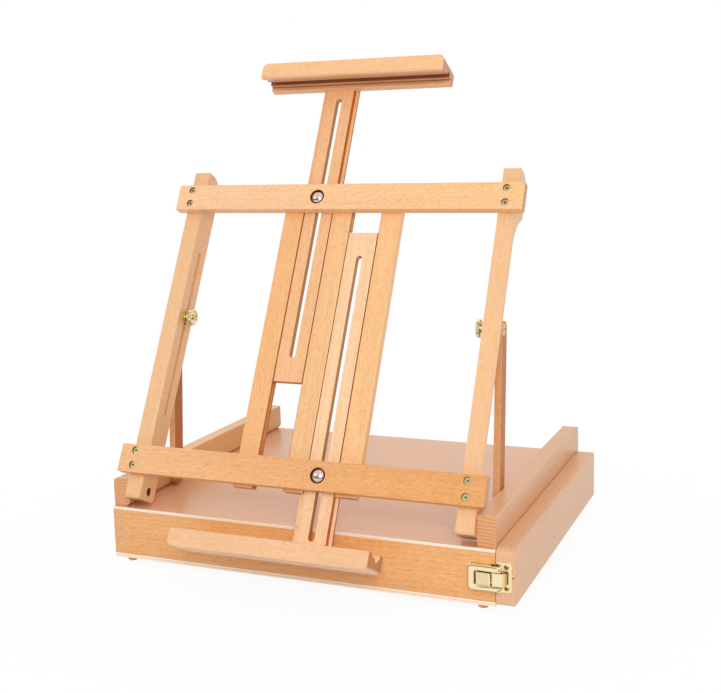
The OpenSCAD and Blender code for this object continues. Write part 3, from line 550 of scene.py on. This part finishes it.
# Guide rails. Three beech slats 9 mm thick, grooved on the edges that face a mast and fixed behind the
# crossbars. The seams beside the masts carry painted shade, as brown lines.
SEAM_SHADE = 0.00075
seams = (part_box("left_guide")[1].x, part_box("centre_guide")[0].x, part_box("right_guide")[0].x)


def seam_shaded(material):
    """Paints shade on a slat close beside the seams between guides and masts, as a brown line."""
    tree, shader = material.node_tree, material.node_tree.nodes["Principled BSDF"]
    across = add(tree, "SeparateXYZ", {0: add(tree, "TexCoord").outputs["Object"]}).outputs["X"]
    share = 0.0
    for seam in seams:
        beside = add(tree, "Math", {0: across, 1: seam, 2: SEAM_SHADE}, operation="COMPARE")
        share = add(tree, "Math", {0: beside.outputs[0], 1: share}, operation="MAXIMUM").outputs[0]
    lacquered = shader.inputs["Base Color"].links[0].from_socket
    toned = add(tree, "Mix", {0: share, 6: lacquered, 7: linear("BE6828")}, data_type="RGBA")
    tree.links.new(toned.outputs[2], shader.inputs["Base Color"])
    return material


# Each slat's sides take painted light and shade: dark brown where the grooves lie in shadow, paler on the
# lit side of the right slat
for i, (node, face, side) in enumerate((("left_guide", "F0B67D", "96501E"),
                                        ("centre_guide", "F0BD88", "8E4A1C"),
                                        ("right_guide", "F5C18A", "FACB9C"))):
    slat_wood = beech("beech of the " + node.replace("_", " ") + " rail", face, "D8985E",
                      (0.2 + 0.37 * i, 0.05 + 0.02 * i, 0.05), "Z", LEAN, side=side)
    eased(node, seam_shaded(slat_wood), radius=0.0005)

# Crossbars. Two beech bars 10 mm thick across the front of the uprights, held by two wood screws at
# each end. The screws are passivated steel, a yellowish grey, sunk in drilled holes.
for i, (node, face, right_face, ring) in enumerate((("upper_crossbar", "F6C69A", "F4C28C", "E0A266"),
                                                    ("lower_crossbar", "EDB581", "E3A264", "D08E54"))):
    bar_wood = beech("beech of the " + node.replace("_", " "), face, ring,
                     (0.31 * i, 0.07, 0.05 + 0.03 * i), "X", LEAN, ring_gap=0.004,
                     right_face=right_face)
    eased(node, bar_wood, radius=0.0007, segments=3)
eased("crossbar_screws", plated("passivated steel of the wood screws", "CCC29A", 0.3), radius=0.0002)

# Places on the leaning frame: across from its left edge, up from its pivot and back from it. The pivot
# lies 12.2 mm behind the box's front.
BOX_LEFT, BOX_FRONT, BOX_FOOT = -0.21005, -0.14539, 0.006
BACK = Vector((0, math.cos(LEAN), math.sin(LEAN)))
UPWARD = Vector((0, -math.sin(LEAN), math.cos(LEAN)))
PIVOT = Vector((BOX_LEFT, BOX_FRONT + 0.0122, 0.0728))
BAR_FRONT = 0.02495


def on_bar(across, up, sunk=0.0):
    """A place on the crossbars' front, or sunk behind it."""
    return PIVOT + Vector((across, 0, 0)) - BACK * (BAR_FRONT - sunk) + UPWARD * up


def counterbores(name, places, radius, inner, depth):
    """Painted shade in the crossbars' drilled holes: thin dark cups lining their walls and floors."""
    wall, floor = 0.0002, 0.0001
    profile = [(0, radius), (depth, radius), (depth, inner), (depth - floor, inner),
               (depth - floor, radius - wall), (0, radius - wall)]
    shape = bmesh.new()
    for across, up in places:
        spun(shape, on_bar(across, up), BACK, UPWARD, profile, 40)
    bmesh.ops.recalc_face_normals(shape, faces=shape.faces)
    added(made(name, shape), hole_shade_wood, "easel_frame")


# The holes' walls and floors are coloured dark brown as painted shade
hole_shade_wood = plain_wood("beech in painted shade of the drilled holes", "8A3E18")
# Two screws at each end of each bar, and a bolt where a mast passes behind it
LOWER_BAR, UPPER_BAR = 0.0288, 0.3162
SCREWS = [(across, bar + offset) for across in (0.0254, 0.3741) for bar in (LOWER_BAR, UPPER_BAR)
          for offset in (-0.0067, 0.0083)]
BOLTS = [(0.17465, UPPER_BAR), (0.22865, LOWER_BAR)]
counterbores("screw_counterbores", SCREWS, radius=0.00368, inner=0.0034, depth=0.0014)
counterbores("bolt_counterbores", BOLTS, radius=0.00772, inner=0.0069, depth=0.0031)
heads = [on_bar(across, up, sunk=0.0013) for across, up in SCREWS]
blocks("screw_crosses", crosses(heads, length=0.0034, width=0.0007, depth=0.0003),
       plated("shadowed steel of the wood screws' recesses", "7A7040", 0.5), "easel_frame",
       turn=0.5, lean=LEAN)

# Masts. Two beech slats 7 mm thick and slotted for the clamping bolt. The tongues on their edges
# slide in the guide rails' grooves.
# The masts' sides, which face along X, take painted shade in a browner tone
for i, (node, face) in enumerate((("upper_mast", "EFB988"), ("lower_mast", "F7CCA0"))):
    slat_wood = beech("beech of the " + node.replace("_", " "), face, "D6965E",
                      (0.15 + 0.4 * i, 0.08, 0.03 + 0.02 * i), "Z", LEAN, side="BC7838")
    eased(node, seam_shaded(slat_wood), radius=0.0005)


# Canvas holders. Two lengths of one planed beech moulding, 204 mm long, the upper one upside down.
# Each is screwed from behind to the end of its mast.
def groove_shaded(node, material, code):
    """Paints shade into a moulding's deep groove, where its walls and floor lie in shadow.

    Each row is one strip: how high it lies over the canvas side, how far in front of the back, and
    how dark it is."""
    places = [vert.co for vert in frame["nodes"][node].data.vertices]
    canvas_side = min(place.dot(UPWARD) for place in places)
    back = max(place.dot(BACK) for place in places)
    tree, shader = material.node_tree, material.node_tree.nodes["Principled BSDF"]
    here = add(tree, "TexCoord").outputs["Object"]
    height = add(tree, "VectorMath", {0: here, 1: UPWARD}, operation="DOT_PRODUCT").outputs["Value"]
    depth = add(tree, "VectorMath", {0: here, 1: BACK}, operation="DOT_PRODUCT").outputs["Value"]
    share = 0.0
    for lowest, highest, nearest, farthest, strength in ((0.0008, 0.005, 0.0074, 0.0226, 0.3),
                                                         (0.0034, 0.005, 0.0078, 0.0087, 0.8),
                                                         (0.004, 0.0077, 0.012, 0.0189, 0.85)):
        level = add(tree, "Math", {0: height, 1: canvas_side + (lowest + highest) / 2,
                                   2: (highest - lowest) / 2}, operation="COMPARE")
        within = add(tree, "Math", {0: depth, 1: back - (nearest + farthest) / 2,
                                    2: (farthest - nearest) / 2}, operation="COMPARE")
        both = add(tree, "Math", {0: level.outputs[0], 1: within.outputs[0]}, operation="MULTIPLY")
        part = add(tree, "Math", {0: both.outputs[0], 1: strength}, operation="MULTIPLY")
        share = add(tree, "Math", {0: part.outputs[0], 1: share}, operation="MAXIMUM").outputs[0]
    lacquered = shader.inputs["Base Color"].links[0].from_socket
    toned = add(tree, "Mix", {0: share, 6: lacquered, 7: linear(code)}, data_type="RGBA")
    tree.links.new(toned.outputs[2], shader.inputs["Base Color"])
    return material


for i, (node, face) in enumerate((("top_clamp", "F5C08E"), ("tray", "F0BE92"))):
    holder_wood = beech("beech of the " + node.replace("_", " "), face, "DCA072",
                        (0.2 + 0.5 * i, 0.09, 0.04), "X", LEAN, streak_strength=0.55,
                        fleck_strength=0.3)
    # The top clamp's groove takes painted shade
    if node == "top_clamp":
        holder_wood = groove_shaded(node, holder_wood, "8A3416")
    eased(node, holder_wood, radius=0.0004)
for node in ("top_clamp_screws", "tray_screws"):
    eased(node, turned_brass, radius=0.0002)

# Clamping bolts of the masts. Nickelled steel carriage bolts through the crossbars, with a polished
# dome in front that mirrors the room; brass washers and knurled nuts hold them behind.
# The nickel is tinted pink as a painted reflection of the wood round the domes
bright_nickel = plated("nickel of the domed bolts, pink with painted reflection", "DCC4B8", 0.12)
# The domes rise this much more over their brims, which lie so far in front of the pivot
DOME_RISE = 0.0016
BRIM = 0.0222
brim = (PIVOT - BACK * BRIM).dot(BACK)
for node in ("upper_carriage_bolt", "lower_carriage_bolt"):
    bolt = eased(node, bright_nickel, radius=0.0002)
    for vert in bolt.data.vertices:
        if vert.co.dot(BACK) < brim:
            vert.co -= BACK * DOME_RISE
eased("mast_washers", turned_brass, radius=0.0003)
knurled_nut("upper_mast_nut", BACK)
knurled_nut("lower_mast_nut", BACK)

# Floor. A sheet of matt white paper that shows the easel's soft shadow close by and fades to pure
# white further away. Seen by the camera or in a mirror it glows, so that it stays white.
bpy.ops.mesh.primitive_plane_add(size=12)
floor = bpy.context.object
floor.name = "floor"
PAPER = (0.82, 0.82, 0.82, 1)
WHITE = (1, 1, 1, 1)
floor_paper, tree, shader = new_surface("matt white paper of the floor", Roughness=0.9)
shader.inputs["Base Color"].default_value = PAPER
shader.inputs["Specular IOR Level"].default_value = 0.0
here = add(tree, "TexCoord")
away = add(tree, "VectorMath", {0: here.outputs["Object"]}, operation="LENGTH")
fade = add(tree, "MapRange", {"Value": away.outputs["Value"], "From Min": 0.15, "From Max": 0.5,
                              "To Min": 0.93, "To Max": 1.0}, interpolation_type="SMOOTHSTEP")
ray = add(tree, "LightPath")
seen = add(tree, "Math", {0: ray.outputs["Is Camera Ray"], 1: ray.outputs["Is Glossy Ray"]},
           operation="MAXIMUM")
white_share = add(tree, "Math", {0: fade.outputs[0], 1: seen.outputs[0]}, operation="MULTIPLY")
glow = add(tree, "Emission", {"Color": WHITE, "Strength": 1.0})
mixed = add(tree, "MixShader", {0: white_share.outputs[0], 1: shader.outputs[0], 2: glow.outputs[0]})
tree.links.new(mixed.outputs[0], tree.nodes["Material Output"].inputs["Surface"])
floor.data.materials.append(floor_paper)

# Light. A white room, open above and behind the easel and dimmer low in front, with two round soft
# lamps at the front. Every part of the room looks white to the camera.
world = bpy.data.worlds.new("white studio")
bpy.context.scene.world = world
world.use_nodes = True
tree = world.node_tree
tree.nodes.clear()
ray = add(tree, "LightPath")
mirrored = add(tree, "Math", {0: ray.outputs["Is Glossy Ray"], 1: ray.outputs["Is Transmission Ray"]},
               operation="MAXIMUM")
way = add(tree, "SeparateXYZ", {0: add(tree, "TexCoord").outputs["Generated"]})
above = add(tree, "MapRange", {"Value": way.outputs["Z"], "From Min": 0.08, "From Max": 0.65})
behind = add(tree, "MapRange", {"Value": way.outputs["Y"], "From Min": -0.35, "From Max": 0.1})
open_side = add(tree, "Math", {0: above.outputs[0], 1: behind.outputs[0]}, operation="MAXIMUM")
part = add(tree, "MapRange", {"Value": open_side.outputs[0], "To Min": 0.22, "To Max": 1.0})
level = add(tree, "MapRange", {"Value": mirrored.outputs[0], "To Min": 0.8, "To Max": 1.0})
cast = add(tree, "Math", {0: part.outputs[0], 1: level.outputs[0]}, operation="MULTIPLY")
total = add(tree, "Math", {0: cast.outputs[0], 1: ray.outputs["Is Camera Ray"]}, operation="MAXIMUM")
sky = add(tree, "Background", {"Color": WHITE, "Strength": total.outputs[0]})
add(tree, "OutputWorld", {"Surface": sky.outputs[0]})


def lamp(name, place, size, power):
    """A round soft lamp at a place, turned to the middle of the easel."""
    light = bpy.data.lights.new(name, "AREA")
    light.shape = "DISK"
    light.size = size
    light.energy = power
    stand = bpy.data.objects.new(name, light)
    stand.location = place
    stand.rotation_euler = (EASEL_MIDDLE - Vector(place)).to_track_quat("-Z", "Y").to_euler()
    bpy.context.scene.collection.objects.link(stand)


EASEL_MIDDLE = Vector((0, 0, 0.2))
lamp("key", (0.9, -1.9, 1.2), size=1.2, power=23)
lamp("fill", (-1.6, -1.2, 1.2), size=1.0, power=4)

# Camera. It stands where the photograph was taken from, found from the photograph's perspective: its
# focal length and the point it looks at are in pixels, its place in metres from the box's corner.
PHOTO_WIDTH = 721
FOCAL_LENGTH = 1152.5
AIM_ACROSS, AIM_DOWN = 359.18, 326.3
MIDDLE_ACROSS, MIDDLE_DOWN = 360.5, 346.5
CAMERA_FROM_CORNER = Vector((0.67395, -0.94325, 0.40893))
BOX_CORNER = Vector((BOX_LEFT, BOX_FRONT, BOX_FOOT))
camera = bpy.data.cameras.new("camera")
camera.sensor_width = 36
camera.sensor_fit = "HORIZONTAL"
camera.lens = FOCAL_LENGTH / PHOTO_WIDTH * camera.sensor_width
camera.shift_x = (MIDDLE_ACROSS - AIM_ACROSS) / PHOTO_WIDTH
camera.shift_y = (AIM_DOWN - MIDDLE_DOWN) / PHOTO_WIDTH
camera.clip_start = 0.05
viewer = bpy.data.objects.new("camera", camera)
yaw, pitch, roll = 0.3988, -0.156, -0.025
forward = Vector((-math.sin(yaw) * math.cos(pitch), math.cos(yaw) * math.cos(pitch), math.sin(pitch)))
level_right = Vector((math.cos(yaw), math.sin(yaw), 0))
level_up = level_right.cross(forward)
right = math.cos(roll) * level_right + math.sin(roll) * level_up
up = -math.sin(roll) * level_right + math.cos(roll) * level_up
turn = Matrix((right, up, -forward)).transposed().to_4x4()
viewer.matrix_world = Matrix.Translation(BOX_CORNER + CAMERA_FROM_CORNER) @ turn
bpy.context.scene.collection.objects.link(viewer)
bpy.context.scene.camera = viewer
bpy.context.scene.view_settings.view_transform = "Standard"
